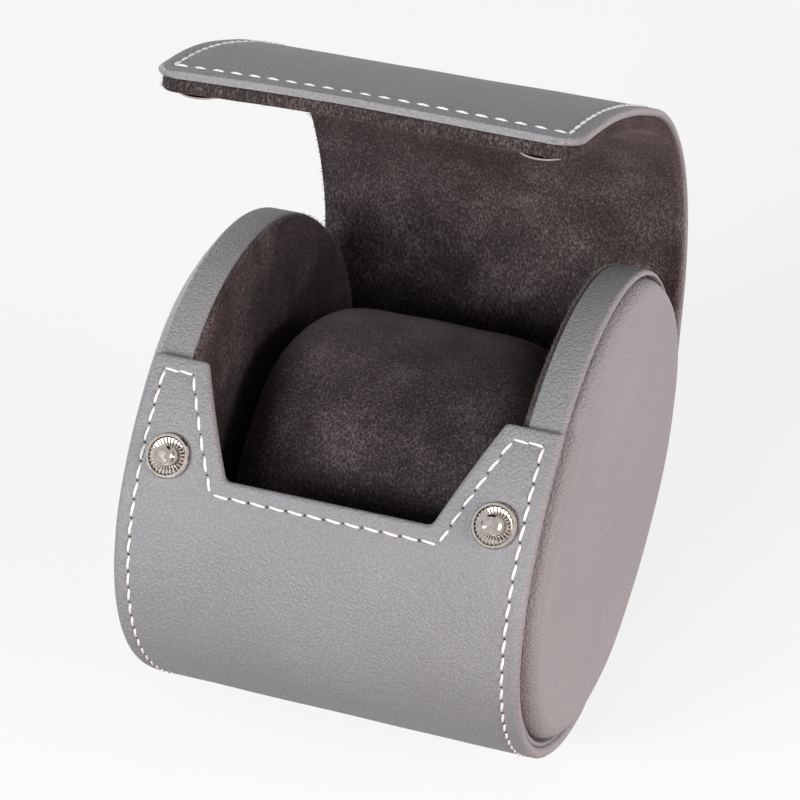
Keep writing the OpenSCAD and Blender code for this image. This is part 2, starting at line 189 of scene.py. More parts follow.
class Section:
    """The outer face of the whole strip as one line, read by the length along it.

    Behind, the leather leaves the discs little by little, because it runs on into the lid."""

    def __init__(self):
        angles = np.arange(TAB_ANGLE, WRAP_END + 0.5)
        lift = LID_OUT * ease(angles, LEAVES_AT, WRAP_END)
        wrap = [on_oval(a, out) for a, out in zip(angles, lift)]
        lid = [on_open_lid(a, LID_OUT) for a in np.arange(LID_START, LID_END + 0.5)]
        line = wrap + bridge(wrap[-1], WRAP_END, lid[0], LID_START - LID_OPEN, 12) + lid
        # The leather's outer face over the sockets, and on to the front edge
        sockets = np.array([socket_low.y + socket_high.y, socket_low.z + socket_high.z]) / 2
        over = sockets + OVER_SOCKETS * direction(FRONT_NORMAL)
        tip = over + SNAP_TO_TIP * direction(FRONT_NORMAL + 90)
        line += bridge(lid[-1], LID_END - LID_OPEN, over, FRONT_NORMAL) + [over, tip]
        line = np.array(line)
        line[:, 1] = np.maximum(line[:, 1], 0.0)
        steps = np.linalg.norm(np.diff(line, axis=0), axis=1)
        at = np.concatenate([[0], np.cumsum(steps)])
        self.length = at[-1]
        self.at = np.arange(0, self.length, 0.5)
        self.y = np.interp(self.at, at, line[:, 0])
        self.z = np.interp(self.at, at, line[:, 1])
        along = np.gradient(np.stack([self.y, self.z], 1), self.at, axis=0)
        even = [np.convolve(np.pad(c, 4, "edge"), np.ones(9) / 9, "valid") for c in along.T]
        along = np.stack(even, 1)
        along /= np.linalg.norm(along, axis=1)[:, None]
        self.ny, self.nz = along[:, 1], -along[:, 0]

    def bend(self, flat):
        """Flat places (across, along, height) in mm become places in metres."""
        across, at, height = flat[:, 0], flat[:, 1], flat[:, 2]
        front = ease(at, self.length - FRONT_RUN, self.length)
        across = across + FRONT_TAPER * front * np.clip(-across / HALF_W, 0, 1)
        height = height + FRONT_CROWN * front * (1 - (across / HALF_W) ** 2)
        y = np.interp(at, self.at, self.y) + height * np.interp(at, self.at, self.ny)
        z = np.interp(at, self.at, self.z) + height * np.interp(at, self.at, self.nz)
        return np.stack([across, y, np.maximum(z, 0.02)], 1) * MM

    def near(self, place, low=0.0, high=1e9):
        """The length along the strip that comes nearest to a place."""
        far = np.hypot(self.y - place[0], self.z - place[1])
        far[(self.at < low) | (self.at > high)] = 1e9
        return self.at[int(np.argmin(far))]


section = Section()
NOTCH_AT = section.near(on_oval(NOTCH_ANGLE))
HINGE_AT = section.near(hinge, low=150)
WRAP_END_AT = HINGE_AT - HINGE_REACH - 1   # where the wrap's sheet meets the lid's
FOLD_AT = section.near(fold, low=HINGE_AT)
LID_END_AT = FOLD_AT - FOLD_REACH - 1
TIP_AT = section.length


# ---- Mesh helpers ---------------------------------------------------------------------------
def select_only(o):
    bpy.ops.object.select_all(action="DESELECT")
    bpy.context.view_layer.objects.active = o
    o.select_set(True)


def made(name):
    o = bpy.context.active_object
    o.name = o.data.name = name
    return o


def vertices(o):
    flat = np.zeros(len(o.data.vertices) * 3)
    o.data.vertices.foreach_get("co", flat)
    return flat.reshape(-1, 3)


def set_vertices(o, places):
    o.data.vertices.foreach_set("co", np.asarray(places, np.float32).ravel())
    o.data.update()


def add_modifier(o, kind, **settings):
    select_only(o)
    modifier = o.modifiers.new(kind.lower(), kind)
    for name, value in settings.items():
        setattr(modifier, name, value)
    bpy.ops.object.modifier_apply(modifier=modifier.name)


def smooth(o, angle=40):
    select_only(o)
    bpy.ops.object.shade_smooth_by_angle(angle=math.radians(angle))


def recalculate(o):
    select_only(o)
    bpy.ops.object.mode_set(mode="EDIT")
    bpy.ops.mesh.select_all(action="SELECT")
    bpy.ops.mesh.normals_make_consistent(inside=False)
    bpy.ops.object.mode_set(mode="OBJECT")


def delete_faces(o, which):
    """Deletes the faces for which which(centre) is true, with what only they used."""
    select_only(o)
    for group in (o.data.vertices, o.data.edges, o.data.polygons):
        group.foreach_set("select", [False] * len(group))
    for polygon in o.data.polygons:
        polygon.select = bool(which(polygon.center))
    bpy.ops.object.mode_set(mode="EDIT")
    bpy.ops.mesh.select_mode(type="FACE")
    bpy.ops.mesh.delete(type="FACE")
    bpy.ops.mesh.select_mode(type="VERT")
    bpy.ops.object.mode_set(mode="OBJECT")


def soft(places, size, height, seed):
    """Gentle unevenness of a given size and height, in mm."""
    shift = Vector((seed * 17.3, seed * 5.1, seed * 9.7))
    return np.array([noise.noise(Vector(p) / size + shift) for p in places]) * height


# ---- Flat patterns --------------------------------------------------------------------------
def corner_arc(before, corner, after, radius, count=6):
    before, corner, after = (np.array(p[:2], float) for p in (before, corner, after))
    u = (before - corner) / np.linalg.norm(before - corner)
    v = (after - corner) / np.linalg.norm(after - corner)
    half = math.acos(max(-1, min(1, float(u @ v)))) / 2
    middle = corner + (u + v) / np.linalg.norm(u + v) * radius / math.sin(half)
    p = corner + u * radius / math.tan(half) - middle
    q = corner + v * radius / math.tan(half) - middle
    start = math.atan2(p[1], p[0])
    sweep = (math.atan2(q[1], q[0]) - start + math.pi) % (2 * math.pi) - math.pi
    turns = [start + sweep * k / count for k in range(count + 1)]
    return [middle + radius * np.array([math.cos(a), math.sin(a)]) for a in turns]


def notch_corners(inset):
    """The inner corner of a tab's top and the corner of the notch, drawn in by inset."""
    slant = math.atan2(TAB_ROOT_W - TAB_TOP_W, NOTCH_AT)
    sideways = inset / math.cos(slant) - inset * math.tan(slant)
    root = (HALF_W - TAB_ROOT_W + sideways, NOTCH_AT + inset)
    return (HALF_W - TAB_TOP_W + sideways, inset), root


class Sheet:
    """The outline of a sheet: two straight sides, rounded at the far end, and perhaps the notch."""

    def __init__(self, half, start, end, corner=0.0, notch=None, open_ends=()):
        self.half, self.start, self.end, self.corner = half, start, end, corner
        self.open_ends = open_ends
        self.notch = None
        right = []
        if notch is not None:
            top, root = notch_corners(notch)
            inner = corner_arc((half + 9, notch), top, root, TAB_ROUND)
            inner += corner_arc(top, root, (0, root[1]), NOTCH_FILLET)
            inner = np.array(inner)
            inner[:, 0] = np.minimum(inner[:, 0], half - 0.3)
            self.notch, self.bottom = inner, root[1]
            right = [(half, start)] + inner.tolist()
        else:
            right = [(half, start)]
        far = corner_arc((half, start), (half, end), (0, end), corner) if corner else [(half, end)]
        outline = [(x, y) for x, y in far[::-1]] + right
        self.outline = np.array(outline + [(-x, y) for x, y in outline[::-1]])

    def side(self, at):
        into = max(0.0, self.corner - (self.end - at))
        return self.half - (self.corner - math.sqrt(max(0.0, self.corner**2 - into**2)))

    def inner(self, at):
        return float(np.interp(at, self.notch[:, 1], self.notch[:, 0]))

    def distance(self, points):
        """How far each point is from the edge, leaving out the ends where sheets meet."""
        far = np.full(len(points), 1e9)
        for a, b in zip(self.outline, np.roll(self.outline, -1, axis=0)):
            if any(abs(a[1] - e) < 1e-6 and abs(b[1] - e) < 1e-6 for e in self.open_ends):
                continue
            step = b - a
            u = np.clip(((points - a) @ step) / max(step @ step, 1e-12), 0, 1)
            far = np.minimum(far, np.linalg.norm(points - a - u[:, None] * step, axis=1))
        return far


# Lines run this far from each edge, to draw its rounding and the line of stitches
EDGE_LINES = np.array([0, 0.05, 0.18, 0.38, 0.65, 0.95, 1.4, 2.0, 2.4, 2.65, 2.9, 3.15, 3.4, 4.6])
ROW = 1.6
COLUMNS = 14


def shared(low, high, count):
    """The lines that part the width between two others into equal strips."""
    return [low + (high - low) * k / count for k in range(1, count)]


def spaced(low, high):
    return shared(low, high, max(1, round((high - low) / ROW)))


def rows_of(sheet):
    low = [sheet.start] if sheet.start in sheet.open_ends else list(sheet.start + EDGE_LINES)
    high = [sheet.end] if sheet.end in sheet.open_ends else list(sheet.end - EDGE_LINES[::-1])
    if sheet.notch is None:
        return low + spaced(low[-1], high[0]) + high
    arc = [at for at in sheet.notch[:, 1] if at > low[-1] + 0.2 and at < sheet.bottom - 0.02]
    below = list(sheet.bottom + EDGE_LINES)
    return low + spaced(low[-1], arc[0]) + arc + below + spaced(below[-1], high[0]) + high


def columns_at(sheet, at):
    """Where the lines cross this row: the tabs' or sides' edge lines, and the rest between."""
    side = sheet.side(at)
    if sheet.notch is None:
        outer = side - EDGE_LINES
        return list(-outer) + shared(-outer[-1], outer[-1], COLUMNS) + list(outer[::-1])
    inner = sheet.inner(at)
    reach = min(1.0, (side - inner) / (2 * EDGE_LINES[-1] + 0.6))
    outer, lines = side - EDGE_LINES * reach, inner + EDGE_LINES * reach
    tab = list(lines) + shared(lines[-1], outer[-1], 3) + list(outer[::-1])
    return [-x for x in tab[::-1]] + shared(-inner, inner, COLUMNS) + tab


def cut_sheet(name, sheet):
    rows = rows_of(sheet)
    columns = [columns_at(sheet, at) for at in rows]
    bpy.ops.mesh.primitive_grid_add(
        x_subdivisions=len(columns[0]) - 1, y_subdivisions=len(rows) - 1, size=2)
    o = made(name)
    set_vertices(o, [(x, at, 0) for at, xs in zip(rows, columns) for x in xs])
    if sheet.notch is not None:
        delete_faces(o, lambda c: c.y < sheet.bottom and abs(c.x) < sheet.inner(c.y))
    return o


def rounding(distance, radius):
    """How far a rounded edge falls below the face, this far in from the edge."""
    inner = np.clip(radius - distance, 0, radius)
    return radius - np.sqrt(radius**2 - inner**2)


def bent_sheet(name, sheet, top, thickness, edge, groove=0.0, turn=0.0, inset=0.0, taper=None,
               wave=0.0):
    """A sheet laid flat, thickened, rounded at its edges and bent to the section.

    top is the height of its outer face over the strip's. turn is the width of the turned-in edge:
    inside it the sheet is only as thick as the leather. The lid's skin is pared at its edge, and
    a lining that ends inset from it rises into the room. taper is where a lining gets thick."""
    o = cut_sheet(name, sheet)
    add_modifier(o, "SOLIDIFY", thickness=thickness, offset=-1)
    flat = vertices(o)
    across, at = flat[:, 0], flat[:, 1]
    upper = flat[:, 2] > -thickness / 2
    distance = sheet.distance(flat[:, :2])
    on_lid = ease(at, WRAP_END_AT, HINGE_AT + 10)
    pared = SKIVE * (1 - ease(distance + inset, 0.6, 4.0)) * on_lid
    fall = rounding(distance, edge if inset else edge - 0.2 * on_lid)
    seam = np.minimum(sheet.half - np.abs(across), TIP_AT - FRONT_STITCH_IN + STITCH_IN - at)
    seam = np.where(at > HINGE_AT, seam, distance)
    face = -fall - groove * np.exp(-(((seam - STITCH_IN) / 0.4) ** 2))
    back = fall - thickness * (0.3 + 0.7 * ease(at, *taper) if taper else 1)
    if inset:
        face += pared
    else:
        back += pared
    if turn:
        back = np.where(distance > turn, np.maximum(back, -LEATHER), back)
    height = np.where(upper, face, back) + top
    if wave:
        height += soft(np.c_[flat[:, :2], np.zeros(len(flat))], 11, wave, 3)
    set_vertices(o, section.bend(np.c_[flat[:, :2], height]))
    recalculate(o)
    smooth(o)
    return o


# ---- Stitches -------------------------------------------------------------------------------
def offset_line(corners, inset):
    """The line that runs inset to the left of the way along these corners."""
    points = [np.array(c[:2], float) for c in corners]
    normals = []
    for a, b in zip(points, points[1:]):
        step = (b - a) / np.linalg.norm(b - a)
        normals.append(np.array([-step[1], step[0]]))
    line = [points[0] + inset * normals[0]]
    for p, m, n in zip(points[1:-1], normals, normals[1:]):
        line.append(p + inset * (m + n) / (1 + m @ n))
    return line + [points[-1] + inset * normals[-1]]


def stitch_places(line):
    """(middle, direction) of each stitch along a line, evenly shared over each straight run."""
    places = []
    for a, b in zip(line, line[1:]):
        step = b - a
        run = np.linalg.norm(step)
        if run < STITCH_PITCH * 0.6:
            continue
        count = max(1, round(run / STITCH_PITCH))
        places += [(a + step * (k + 0.5) / count, step / run) for k in range(count)]
    return places


def repeated(name, shape, places, faces_of, slant=0.0):
    """One mesh that holds a copy of a small flat shape at each place."""
    every, faces = [], []
    for middle, along in places:
        along = turned(along, np.zeros(2), slant)
        across = np.array([-along[1], along[0]])
        flat = middle + shape[:, :1] * along + shape[:, 1:2] * across
        base = len(every) * len(shape)
        every.append(np.c_[flat, shape[:, 2]])
        faces += [[base + v for v in f] for f in faces_of]
    mesh = bpy.data.meshes.new(name)
    mesh.from_pydata((section.bend(np.concatenate(every))).tolist(), [], faces)
    o = bpy.data.objects.new(name, mesh)
    bpy.context.scene.collection.objects.link(o)
    recalculate(o)
    smooth(o, 60)
    return o


def stitch_shape(length, width, rise, sink):
    """A short plump thread that dips at both ends: a ball drawn out and bent down."""
    bpy.ops.mesh.primitive_uv_sphere_add(
        segments=8, ring_count=6, radius=1, rotation=(0, math.pi / 2, 0))
    o = made("stitch_pattern")
    bpy.ops.object.transform_apply(location=False, rotation=True, scale=True)
    v = vertices(o)
    faces = [list(p.vertices) for p in o.data.polygons]
    round_it = np.maximum(np.hypot(v[:, 1], v[:, 2]), 1e-6)
    full = np.sqrt(np.clip(1 - np.abs(v[:, 0]) ** 4, 0, 1)) / round_it
    full = np.where(np.abs(v[:, 0]) > 0.999, 0, full)
    shape = np.stack(
        [v[:, 0] * length / 2, v[:, 1] * full * width / 2, v[:, 2] * full * width / 2], 1
    )
    shape[:, 2] += rise - sink * v[:, 0] ** 2
    bpy.data.objects.remove(o)
    return shape, faces


# ---- Discs ----------------------------------------------------------------------------------
TURNS = 240
ASKEW = 1.7


def oval_ring(name, profile):
    """A ring round the oval with a closed profile of (out from the wrap's face, x)."""
    bpy.ops.mesh.primitive_torus_add(major_segments=TURNS, minor_segments=len(profile))
    o = made(name)
    places = [
        (x, *on_oval(360 * k / TURNS, out)) for k in range(TURNS) for out, x in profile
    ]
    set_vertices(o, np.array(places) * MM)
    recalculate(o)
    smooth(o, 50)
    return o


def oval_plate(name, profile):
    """A closed plate: rings of (out from the wrap's face, x) from the front pole to the back."""
    bpy.ops.mesh.primitive_uv_sphere_add(segments=TURNS, ring_count=len(profile) + 1, radius=1)
    o = made(name)
    v = vertices(o)
    polar = np.arccos(np.clip(v[:, 2], -1, 1)) / math.pi * (len(profile) + 1)
    turn = np.degrees(np.arctan2(v[:, 1], v[:, 0])) % 360
    places = []
    for j, t in zip(np.rint(polar).astype(int), turn):
        if j == 0 or j == len(profile) + 1:
            x = profile[0][1] if j == 0 else profile[-1][1]
            places.append((x, 0, CENTRE_Z))
            continue
        out, x = profile[j - 1]
        if out < -END_RADIUS + 2:     # past the end arcs' middles the rings shrink in step
            share = (HALF_HEIGHT + out) / (HALF_HEIGHT - END_RADIUS + 2)
            y, z = on_oval(t, -END_RADIUS + 2) - (0, CENTRE_Z)
            places.append((x, y * share, z * share + CENTRE_Z))
        else:
            places.append((x, *on_oval(t, out)))
    set_vertices(o, np.array(places) * MM)
    return o


def askew(places):
    """The left disc stands a little askew: its top leans out and sags towards the back."""
    y, z = places[:, 1], places[:, 2] - CENTRE_Z
    high = ease(z + 0.35 * y, 8, 44)
    return places + np.stack([-ASKEW * high, 0 * high, -ASKEW * high], 1)


def mirrored(o, name):
    """The other side's copy of a finished piece."""
    copy = o.copy()
    copy.data = o.data.copy()
    copy.name = copy.data.name = name
    bpy.context.scene.collection.objects.link(copy)
    set_vertices(copy, askew(vertices(copy) * (-1, 1, 1) / MM) * MM)
    recalculate(copy)
    return copy


# ---- Materials ------------------------------------------------------------------------------
def linear(colour):
    """An sRGB hex colour as linear RGBA."""
    parts = [int(colour[k : k + 2], 16) / 255 for k in (1, 3, 5)]
    return [c / 12.92 if c <= 0.04045 else ((c + 0.055) / 1.055) ** 2.4 for c in parts] + [1]


def new_material(name):
    material = bpy.data.materials.new(name)
    material.use_nodes = True
    material.node_tree.nodes.clear()
    return material


def add(material, kind, settings=(), links=()):
    """Adds a node, sets its values and inputs, and links its inputs from other nodes.

    A link's source is a node, whose first output is taken, or one output."""
    node = material.node_tree.nodes.new("ShaderNode" + kind)
    for name, value in dict(settings).items():
        if name == "stops":
            elements = node.color_ramp.elements
            while len(elements) < len(value):
                elements.new(0.5)
            for element, (at, colour) in zip(elements, value):
                element.position, element.color = at, linear(colour)
        elif isinstance(name, str) and hasattr(node, name):
            setattr(node, name, value)
        else:
            node.inputs[name].default_value = value
    for name, source in dict(links).items():
        output = source.outputs[0] if hasattr(source, "outputs") else source
        material.node_tree.links.new(output, node.inputs[name])
    return node


def per_mm(size):
    """Texture scale for a pattern whose cells are this many millimetres wide."""
    return 1 / (size * MM)


def finish_material(material, shader):
    add(material, "OutputMaterial", {}, {"Surface": shader})
    return material


def leather_material():
    """Coated split leather, embossed with a fine pebble and pigmented grey: satin, with soft broad
    highlights and fine creases. Shade is painted into the hollows of the grain, so that its tops
    read as lit."""
    m = new_material("embossed_split_leather")
    place = add(m, "TexCoord").outputs["Object"]
    grain = add(m, "TexVoronoi", {"feature": "SMOOTH_F1", "Scale": per_mm(0.5), "Smoothness": 0.2},
                {"Vector": place}).outputs["Distance"]
    pores = add(m, "TexNoise", {"Scale": per_mm(0.3), "Detail": 2.0, "Roughness": 0.5},
                {"Vector": place}).outputs["Fac"]
    creases = add(m, "TexNoise", {"Scale": per_mm(3.2), "Detail": 4.0, "Roughness": 0.65,
                                  "Distortion": 1.2}, {"Vector": place}).outputs["Fac"]
    clouds = add(m, "TexNoise", {"Scale": per_mm(26), "Detail": 3.0, "Roughness": 0.5},
                 {"Vector": place}).outputs["Fac"]
    tone = add(m, "ValToRGB", {"stops": [(0.3, "#96979a"), (0.7, "#9d9ea1")]}, {"Fac": clouds})
    # Painted shade: the hollows of the grain are darkened, so that the grain's tops look like lit
    # points
    painted_grain_shade = add(m, "ValToRGB", {"stops": [(0.1, "#ffffff"), (0.55, "#acacac")]}, {"Fac": grain})
    colour = add(m, "Mix", {"data_type": "RGBA", "blend_type": "MULTIPLY", 0: 0.35},
                 {6: tone, 7: painted_grain_shade}).outputs[2]
    rough = add(m, "MapRange", {"From Min": 0.3, "From Max": 0.7, "To Min": 0.44, "To Max": 0.56},
                {"Value": pores})
    hills = add(m, "Math", {"operation": "MULTIPLY_ADD", 1: -1.7}, {0: grain, 2: pores})
    height = add(m, "Math", {"operation": "MULTIPLY_ADD", 1: 0.15}, {0: creases, 2: hills})
    bump = add(m, "Bump", {"Strength": 1.0, "Distance": 0.0001}, {"Height": height})
    return finish_material(m, add(m, "BsdfPrincipled", {"Specular IOR Level": 0.25, "IOR": 1.48},
                                  {"Base Color": colour, "Roughness": rough, "Normal": bump}))


def suede_material(name, dark, mid, pale, nap=0.5):
    """Brushed microfibre suede: no gloss, short fibres whose glints and shade are painted into the
    colour as pale and dark specks, a pale bloom at grazing angles, and faint patches by the way
    the pile was last stroked. The fibres are drawn about twice as coarse as they are, so that they
    show."""
    m = new_material(name)
    place = add(m, "TexCoord").outputs["Object"]
    stroked = add(m, "TexNoise", {"Scale": per_mm(11), "Detail": 2.0, "Roughness": 0.5,
                                  "Distortion": 0.3}, {"Vector": place}).outputs["Fac"]
    longer = add(m, "Mapping", {"Scale": (1.0, 0.8, 0.5)}, {"Vector": place})
    pile = add(m, "TexNoise", {"Scale": per_mm(0.36), "Detail": 3.0, "Roughness": 0.7},
               {"Vector": longer}).outputs["Fac"]
    both = add(m, "Math", {"operation": "MULTIPLY_ADD", 1: 0.4}, {0: stroked, 2: pile})
    # The fine pile noise paints the glints and shade of single fibres into the colour; the stroked
    # noise gives patches of the suede's own tone
    colour = add(m, "ValToRGB", {"stops": [(0.5, dark), (0.72, mid), (0.92, pale)]}, {"Fac": both})
    bump = add(m, "Bump", {"Strength": nap, "Distance": 0.0004}, {"Height": pile})
    settings = {"Roughness": 0.95, "Specular IOR Level": 0.15, "Sheen Weight": 0.3,
                "Sheen Roughness": 0.4, "Sheen Tint": linear("#b9a9ab")}
    return finish_material(m, add(m, "BsdfPrincipled", settings,
                                  {"Base Color": colour, "Normal": bump}))


def thread_material():
    """Twisted polyester thread, off-white and waxed, with a fine noise for its fluff."""
    m = new_material("waxed_polyester_thread")
    place = add(m, "TexCoord").outputs["Object"]
    fluff = add(m, "TexNoise", {"Scale": per_mm(0.35), "Detail": 2.0},
                {"Vector": place}).outputs["Fac"]
    colour = add(m, "ValToRGB", {"stops": [(0.3, "#dcdbd8"), (0.6, "#f7f7f5")]}, {"Fac": fluff})
    bump = add(m, "Bump", {"Strength": 0.5, "Distance": 0.0001}, {"Height": fluff})
    return finish_material(m, add(m, "BsdfPrincipled", {"Roughness": 0.6, "Sheen Weight": 0.1},
                                  {"Base Color": colour, "Normal": bump}))


def needle_hole_shade_material():
    """Painted shade for a needle hole: the dark slit that the needle leaves at each end of a
    stitch, coloured as the leather inside a hole, in shadow.
    """
    m = new_material("pierced_leather")
    place = add(m, "TexCoord").outputs["Object"]
    grit = add(m, "TexNoise", {"Scale": per_mm(0.3)}, {"Vector": place}).outputs["Fac"]
    # Painted shade: near-black, for the shadow inside a needle hole
    colour = add(m, "ValToRGB", {"stops": [(0.3, "#232223"), (0.7, "#3a393b")]}, {"Fac": grit})
    return finish_material(m, add(m, "BsdfPrincipled", {"Roughness": 0.9}, {"Base Color": colour}))


def nickel_material():
    """Nickel-plated brass, stamped and barrel polished: bright, with a faint haze of fine wear. Its
    colour is painted darker than bare nickel, as painted shade for the dark room that it reflects.
    """
    m = new_material("barrel_polished_nickel")
    place = add(m, "TexCoord").outputs["Object"]
    haze = add(m, "TexNoise", {"Scale": per_mm(0.8), "Detail": 3.0},
               {"Vector": place}).outputs["Fac"]
    rough = add(m, "MapRange", {"To Min": 0.07, "To Max": 0.14}, {"Value": haze})
    # Painted shade: greyer than bare nickel, for the darker room that the studs reflect; the haze's
    # spread is fine wear
    colour = add(m, "ValToRGB", {"stops": [(0.3, "#a39c97"), (0.7, "#b8b0aa")]}, {"Fac": haze})
    return finish_material(m, add(m, "BsdfPrincipled", {"Metallic": 1.0},
                                  {"Base Color": colour, "Roughness": rough}))


def board_material():
    """Pressed grey-brown fibre board: matt, with short fibres and a few darker specks."""
    m = new_material("pressed_fibre_board")
    place = add(m, "TexCoord").outputs["Object"]
    fibre = add(m, "TexNoise", {"Scale": per_mm(1.2), "Detail": 6.0, "Roughness": 0.7},
                {"Vector": place}).outputs["Fac"]
    stops = [(0.3, "#7d6b50"), (0.55, "#a08a6a"), (0.75, "#b5a182")]
    colour = add(m, "ValToRGB", {"stops": stops}, {"Fac": fibre})
    bump = add(m, "Bump", {"Strength": 0.3, "Distance": 0.0001}, {"Height": fibre})
    return finish_material(m, add(m, "BsdfPrincipled", {"Roughness": 0.88},
                                  {"Base Color": colour, "Normal": bump}))


leather = leather_material()
suede = suede_material("brushed_microfibre_suede", "#201b1c", "#3f3838", "#746a6a")
# The loose pile is the same suede painted lighter: painted light for the light that its loose
# fibres catch
pile = suede_material("raised_suede_pile", "#4b4142", "#6f6565", "#8f8585", 0.0)
thread = thread_material()
painted_hole_shade = needle_hole_shade_material()
nickel = nickel_material()
board = board_material()
LEATHER_FINISH = (leather, "grey_leather")
SUEDE_FINISH = (suede, "suede")
PAINTED_LIGHTER_PILE_FINISH = (pile, "suede")
BOARD_FINISH = (board, "board")


def dress(o, material, slot=None):
    o.data.materials.clear()
    o.data.materials.append(material)
    return o


def bend_case(o):
    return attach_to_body(o, "case")


def bend_lid(o):
    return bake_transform(o)


def bend_flap(o):
    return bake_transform(o)


def make_strip(name, sheet, top, thickness, edge, finish, attach, nodes, **more):
    o = bent_sheet(name, sheet, top, thickness, edge, **more)
    attach(dress(o, *finish))
    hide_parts(*nodes)
    return o


SHELL = {"groove": 0.2, "turn": TURN_IN, "wave": 0.12}
BOARD_TOP = -LEATHER - 0.02
BOARD_T = LID_SKIN - LEATHER - 0.04


def make_wrap():
    shell = Sheet(HALF_W, 0, WRAP_END_AT, notch=0, open_ends=(WRAP_END_AT,))
    make_strip("wrap_shell", shell, 0, SKIN, EDGE_ROUND, LEATHER_FINISH, bend_case,
               ["case_leather"], **SHELL)
    inside = Sheet(HALF_W - TURN_IN, TURN_IN, WRAP_END_AT - 4, notch=TURN_IN)
    make_strip("wrap_board", inside, BOARD_TOP, SKIN - LEATHER - 0.04, 0.05, BOARD_FINISH,
               bend_case, ["case_board"])
    lining = Sheet(DISC_INNER_X - 0.1, 1.2, HINGE_AT - 2, notch=1.2)
    make_strip("wrap_lining", lining, -SKIN, WRAP_LINING, 0.5, SUEDE_FINISH, bend_case,
               ["case_lining"], wave=0.25)


def make_lid():
    shell = Sheet(HALF_W, WRAP_END_AT, LID_END_AT, open_ends=(WRAP_END_AT, LID_END_AT))
    make_strip("lid_shell", shell, 0, LID_SKIN, EDGE_ROUND, LEATHER_FINISH, bend_lid,
               ["lid_leather", "hinge_roll"], **SHELL)
    inside = Sheet(HALF_W - TURN_IN, HINGE_AT + 8, LID_END_AT - 1)
    make_strip("lid_stiffener", inside, BOARD_TOP, BOARD_T, 0.05, BOARD_FINISH, bend_lid,
               ["lid_board"])
    start = HINGE_AT - LINING_LAP
    lining = Sheet(HALF_W - LINING_INSET, start, LID_END_AT, open_ends=(LID_END_AT,))
    make_strip("lid_lining_suede", lining, -LID_SKIN, LID_LINING, 0.75, SUEDE_FINISH, bend_lid,
               ["lid_lining"], inset=LINING_INSET, taper=(start, HINGE_AT + 2), wave=0.3)


def punch(o, side):
    """Punches the hole for a socket's barrel through a sheet of the flap."""
    sockets = (socket_low + socket_high) / 2
    across = side * (socket_high.x - SOCKET_FLANGE_R)
    lean = math.radians(90 - FRONT_NORMAL)
    bpy.ops.mesh.primitive_cylinder_add(
        vertices=32, radius=BARREL_R * MM, depth=12 * MM, rotation=(-lean, 0, 0),
        location=Vector((across, sockets.y, sockets.z)) * MM)
    punch_tool = made("punch")
    add_modifier(o, "BOOLEAN", object=punch_tool, operation="DIFFERENCE", solver="EXACT")
    bpy.data.objects.remove(punch_tool)


def make_flap():
    shell = Sheet(HALF_W, LID_END_AT, TIP_AT, LID_CORNER, open_ends=(LID_END_AT,))
    make_strip("flap_shell", shell, 0, LID_SKIN, EDGE_ROUND, LEATHER_FINISH, bend_flap,
               ["flap_leather", "flap_fold_roll"], **SHELL)
    inside = Sheet(HALF_W - TURN_IN, LID_END_AT + 1, TIP_AT - TURN_IN, LID_CORNER - TURN_IN)
    make_strip("flap_stiffener", inside, BOARD_TOP, BOARD_T, 0.05, BOARD_FINISH, bend_flap,
               ["flap_board"])
    lining = Sheet(HALF_W - LINING_INSET, LID_END_AT, TIP_AT - LINING_INSET,
                   LID_CORNER - LINING_INSET, open_ends=(LID_END_AT,))
    suede_sheet = bent_sheet("flap_lining_suede", lining, -LID_SKIN, LID_LINING, 0.75,
                             inset=LINING_INSET, wave=0.3)
    for side in (-1, 1):
        punch(suede_sheet, side)
    smooth(suede_sheet)
    bend_flap(dress(suede_sheet, *SUEDE_FINISH))
    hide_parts("flap_lining")


def make_stitches():
    (top, _), (root, bottom) = notch_corners(0)
    tabs = [(HALF_W, 0), (top, 0), (root, bottom)]
    both = tabs + [(-x, y) for x, y in tabs[::-1]]
    wrap_line = offset_line([(HALF_W, WRAP_END_AT)] + both + [(-HALF_W, WRAP_END_AT)], -STITCH_IN)
    corner = LID_CORNER * 0.3
    front_at = TIP_AT - FRONT_STITCH_IN + STITCH_IN
    lid_line = [(-HALF_W, WRAP_END_AT), (-HALF_W, front_at - corner), (corner - HALF_W, front_at),
                (HALF_W - corner, front_at), (HALF_W, front_at - corner), (HALF_W, WRAP_END_AT)]
    lid_line = offset_line(lid_line[::-1], STITCH_IN)
    shape, faces = stitch_shape(STITCH_LENGTH, THREAD, 0.0, 0.34)
    slit = np.array([(0.17 * math.cos(a), 0.26 * math.sin(a), z) for z in (-0.4, -0.1)
                     for a in np.arange(8) * math.pi / 4])
    slit_faces = [[k, (k + 1) % 8, 8 + (k + 1) % 8, 8 + k] for k in range(8)]
    slit_faces += [list(range(7, -1, -1)), list(range(8, 16))]
    lid_places = stitch_places(lid_line)
    groups = {
        "wrap": (stitch_places(wrap_line), bend_case),
        "lid": ([p for p in lid_places if p[0][1] < LID_END_AT], bend_lid),
        "flap": ([p for p in lid_places if p[0][1] >= LID_END_AT], bend_flap),
    }
    for name, (places, attach) in groups.items():
        attach(dress(repeated(name + "_stitches", shape, places, faces, STITCH_SLANT), thread))
        # A small dark slit at each end of a stitch: painted shade for its needle hole
        ends = [(m + d * STITCH_PITCH / 2, d) for m, d in places]
        slits = repeated(name + "_needle_holes", slit, ends, slit_faces)
        attach(dress(slits, painted_hole_shade))


# ---- End discs ------------------------------------------------------------------------------
RIM_OUT = -SKIN
RIM_T = 1.0
RIM_SUNK = 0.5         # the rim lies this far inside the wrap's edge
GROOVE_W = 0.6
RECESS = 2.6
FACE_RISE = 1.8        # the face's rounded edge stands this far over the wrap's edge
FACE_CROWN = 0.6       # and its middle this much more


def quarter(count):
    return [math.radians(90 * k / count) for k in range(count + 1)]


def face_height(depth):
    """How far the padded face stands over the rim's plane, this far in from its own edge."""
    edge = math.sqrt(max(0.0, 1 - (1 - min(depth, 3.2) / 3.2) ** 2))
    return -1.5 + (1.5 + FACE_RISE) * edge + FACE_CROWN * (1 - (1 - depth / 42) ** 2)


